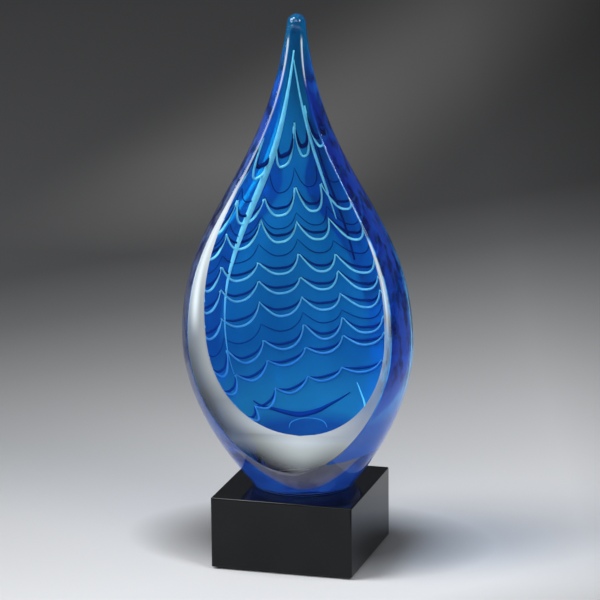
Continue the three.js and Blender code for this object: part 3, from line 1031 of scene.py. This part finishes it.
# Camera at the photograph's place: angles, aim and distance in metres, and sizes in the photograph's pixels
AZIMUTH, ELEVATION, ROLL = (math.radians(a) for a in (16.26, 14.36, -0.51))
CAMERA_AIM = Vector((0, 0, 0.14466))
CAMERA_DISTANCE = 1.951
PHOTO_WIDTH = 600
FOCAL_LENGTH = 3742
SHIFT_RIGHT = 0.92
SHIFT_UP = -11.63
SENSOR_WIDTH = 36


def place_camera():
    """The scene's camera, which sees the award as the photograph does."""
    back = Vector(
        (
            math.sin(AZIMUTH) * math.cos(ELEVATION),
            -math.cos(AZIMUTH) * math.cos(ELEVATION),
            math.sin(ELEVATION),
        )
    )
    right = Vector((math.cos(AZIMUTH), math.sin(AZIMUTH), 0))
    up = back.cross(right)
    rolled_right = right * math.cos(ROLL) + up * math.sin(ROLL)
    rolled_up = up * math.cos(ROLL) - right * math.sin(ROLL)
    turned = Matrix((rolled_right, rolled_up, back)).transposed().to_4x4()
    lens = bpy.data.cameras.new("photo_camera")
    lens.sensor_width = SENSOR_WIDTH
    lens.lens = FOCAL_LENGTH / PHOTO_WIDTH * SENSOR_WIDTH
    lens.shift_x = SHIFT_RIGHT / PHOTO_WIDTH
    lens.shift_y = SHIFT_UP / PHOTO_WIDTH
    lens.clip_end = 100
    camera = bpy.data.objects.new("photo_camera", lens)
    bpy.context.scene.collection.objects.link(camera)
    camera.matrix_world = Matrix.Translation(CAMERA_AIM + back * CAMERA_DISTANCE) @ turned
    bpy.context.scene.camera = camera


place_camera()

# Pieces
glass_round = clear_glass("clear_glass")
glass_facet = clear_glass("clear_glass_facet")
glass_rim = clear_glass("clear_glass_rim", facet_rim=True)
make_drop([glass_round, glass_facet, glued_foot(), glass_rim])
make_colour_layer(azure_glass())
OPAL_WHITE = (0.3, 0.95, 1.0, 1)
white = thread_glass("white_glass", OPAL_WHITE, 0.97, (0.06, 0.42, 0.88, 1), 0.65)
cobalt = thread_glass("cobalt_glass", (0.001, 0.022, 0.16, 1), 0.8, (0.003, 0.06, 0.36, 1), 0.7)
# Painted light: a brighter, clearer copy of the white glass for the painted bright lines
painted_light_glass = thread_glass("white_glass_painted_light", OPAL_WHITE, 0.95, (0.15, 0.75, 1.0, 1), 0.9)
fine = thread_glass("cobalt_glass_fine", (0.002, 0.05, 0.28, 1), 0.5, (0.003, 0.08, 0.42, 1), 0.5)
for number, turn in enumerate(TURNS, 1):
    name = f"trail_white_{number:02d}"
    node = f"white_thread_{number:02d}"
    make_thread(name, turn, 0, WHITE_RADIUS, WHITE_THINNING, white, "white_glass", node)
for number, turn in enumerate(TURNS[:-1], 1):
    name = f"trail_cobalt_{number:02d}"
    node = f"cobalt_thread_{number:02d}"
    make_thread(name, turn, turn[3], COBALT_RADIUS, COBALT_THINNING, cobalt, "cobalt_glass", node)
top = TURNS[-1]
make_thread("trail_cobalt_top", top, top[3], TOP_RADIUS, TOP_THINNING, cobalt, "cobalt_glass")
for number, turn in enumerate(FINE_TURNS, 1):
    make_thread(f"trail_fine_{number:02d}", turn, 0, FINE_RADIUS, FINE_THINNING, fine, "cobalt_glass")
# Painted light: the bright line down the left side of the window
make_streak("painted_light_left", PAINTED_LIGHT_LEFT, white, "white_glass", LONG_STREAK_OUT)
make_streak("streak_right", RIGHT_STREAK, white, "white_glass", LONG_STREAK_OUT)
# Painted shade and painted light: a dark and a bright line in the window, and a bright line on the right wall
make_streak("painted_shade_line", PAINTED_SHADE_LINE, fine, "cobalt_glass")
make_streak("painted_light_low", PAINTED_LIGHT_LOW, painted_light_glass, "white_glass")
make_streak("painted_light_edge", PAINTED_LIGHT_EDGE, painted_light_glass, "white_glass", PAINTED_LIGHT_EDGE_OUT, PAINTED_LIGHT_EDGE_FLATNESS)
make_streak("floor_arch", FLOOR_ARCH, white, "white_glass")
make_streak("floor_ring", FLOOR_RING, cobalt, "cobalt_glass")
make_block(black_glass())
make_film(adhesive())
make_felt(felt())

# Floor, by the distance from the lit front right to the dark far left: distance in metres and shade
FLOOR_SHADES = [
    (-0.9, 0.12),
    (-0.35, 0.23),
    (-0.22, 0.49),
    (-0.15, 0.6),
    (0.0, 0.56),
    (0.24, 0.43),
    (0.45, 0.29),
    (0.61, 0.195),
    (0.78, 0.112),
    (0.96, 0.063),
    (2.25, 0.085),
]
FLOOR_NEAR = -0.9
FLOOR_FAR = 2.3
FLOOR_SLANT = -1.2
FLOOR_CORNERS = [(-4, -4, 0), (4, -4, 0), (4, 5, 0), (-4, 5, 0)]
# Painted shadow round the block: its middle and half its length and width in metres
PAINTED_SHADOW_MIDDLE = (-0.002, 0.024, 0)
PAINTED_SHADOW_SIZE = (0.075, 0.052, 1)


def floor_paper():
    """Matt paper that grades into a dark back, with a painted band of light, painted shade to the right and a
    painted shadow round the block.
    """
    material = bpy.data.materials.new("floor")
    n = Nodes(material)
    coord = n.coord()
    place = n.add("ShaderNodeSeparateXYZ", Vector=coord)
    sideways = place.outputs["X"]
    away = place.outputs["Y"]
    depth = n.between(n.math("MULTIPLY_ADD", sideways, FLOOR_SLANT, away), FLOOR_NEAR, FLOOR_FAR)
    stops = []
    for distance, shade in FLOOR_SHADES:
        share = (distance - FLOOR_NEAR) / (FLOOR_FAR - FLOOR_NEAR)
        stops.append((share, (0.98 * shade, shade, 1.03 * shade, 1)))
    paper = n.ramp(depth, *stops)
    # Painted light: a soft band of light across the far floor
    band = n.between(sideways, -0.46, -0.14)
    painted_light_band = n.ramp(band, (0.0, grey(0)), (0.5, grey(1)), (1.0, grey(0)), ease=True)
    paper = n.blend(n.times(painted_light_band, n.between(away, 0.6, 0.9)), paper, grey(0.17))
    # Painted shade: the floor darker towards the right
    to_right = n.measure("DOT_PRODUCT", coord, (0.96, 0.28, 0))
    paper = n.blend(n.between(to_right, 0.15, 0.32), paper, grey(0.4), "MULTIPLY")
    # Painted shadow: an oval of shade round the block
    shadow_oval = n.add("ShaderNodeMapping", Vector=coord)
    shadow_oval.vector_type = "TEXTURE"
    n.set(shadow_oval, "Location", PAINTED_SHADOW_MIDDLE)
    n.set(shadow_oval, "Scale", PAINTED_SHADOW_SIZE)
    from_block = n.measure("LENGTH", shadow_oval.outputs[0])
    paper = n.blend(n.between(from_block, 1.35, 0.65), paper, grey(0.28), "MULTIPLY")
    surface = n.add("ShaderNodeBsdfPrincipled", Roughness=0.6, Base_Color=paper)
    n.set(surface, "Specular IOR Level", 0.2)
    n.finish(surface.outputs[0])
    return material


floor_mesh = bpy.data.meshes.new("floor")
floor_mesh.from_pydata(FLOOR_CORNERS, [], [(0, 1, 2, 3)])
floor_mesh.materials.append(floor_paper())
floor = bpy.data.objects.new("floor", floor_mesh)
bpy.context.scene.collection.objects.link(floor)


def studio():
    """Dim surroundings, lighter towards the top and a little darker behind the award."""
    world = bpy.data.worlds.new("studio")
    n = Nodes(world)
    generated = n.add("ShaderNodeTexCoord").outputs["Generated"]
    direction = n.add("ShaderNodeSeparateXYZ", Vector=generated)
    height = n.between(direction.outputs["Z"], 0.0, 1.0)
    front_end = n.ramp(
        height,
        (0.0, (0.08, 0.08, 0.085, 1)),
        (0.2, (0.10, 0.10, 0.105, 1)),
        (0.5, (0.15, 0.15, 0.155, 1)),
        (1.0, (0.17, 0.17, 0.17, 1)),
    )
    back_end = n.ramp(
        height,
        (0.0, (0.06, 0.06, 0.065, 1)),
        (0.3, (0.07, 0.07, 0.075, 1)),
        (0.6, (0.14, 0.14, 0.145, 1)),
        (1.0, (0.17, 0.17, 0.17, 1)),
    )
    sky = n.blend(n.between(direction.outputs["Y"], -0.8, 0.0), front_end, back_end)
    backdrop = n.add("ShaderNodeBackground", Color=sky, Strength=1.0)
    n.finish(backdrop.outputs[0], "ShaderNodeOutputWorld")
    return world


def softbox(name, place, aim, width, height, power):
    """A rectangular lamp at a place in metres, turned to an aim, with its power in watts."""
    light = bpy.data.lights.new(name, "AREA")
    light.shape = "RECTANGLE"
    light.size = width
    light.size_y = height
    light.energy = power
    lamp = bpy.data.objects.new(name, light)
    bpy.context.scene.collection.objects.link(lamp)
    lamp.location = place
    lamp.rotation_euler = (Vector(aim) - Vector(place)).to_track_quat("-Z", "Y").to_euler()


softbox("key_softbox", (-1.2, -0.45, 1.0), (0, 0, 0.15), 0.6, 0.6, 10)
softbox("top_softbox", (-0.65, -0.4, 1.5), (0, 0, 0.1), 0.6, 0.6, 19)
softbox("left_strip", (-1.15, -1.0, 0.6), (0, 0, 0.35), 0.35, 1.15, 6)
softbox("right_softbox", (1.1, -0.7, 1.0), (0, 0, 0.15), 0.5, 0.5, 11)
softbox("front_softbox", (0.3, -2.2, 1.5), (0, 0, 0.15), 1.6, 1.2, 16)
scene = bpy.context.scene
scene.world = studio()
scene.view_settings.view_transform = "Standard"
scene.cycles.max_bounces = 32
scene.cycles.glossy_bounces = 24
scene.cycles.transmission_bounces = 24
scene.cycles.transparent_max_bounces = 32
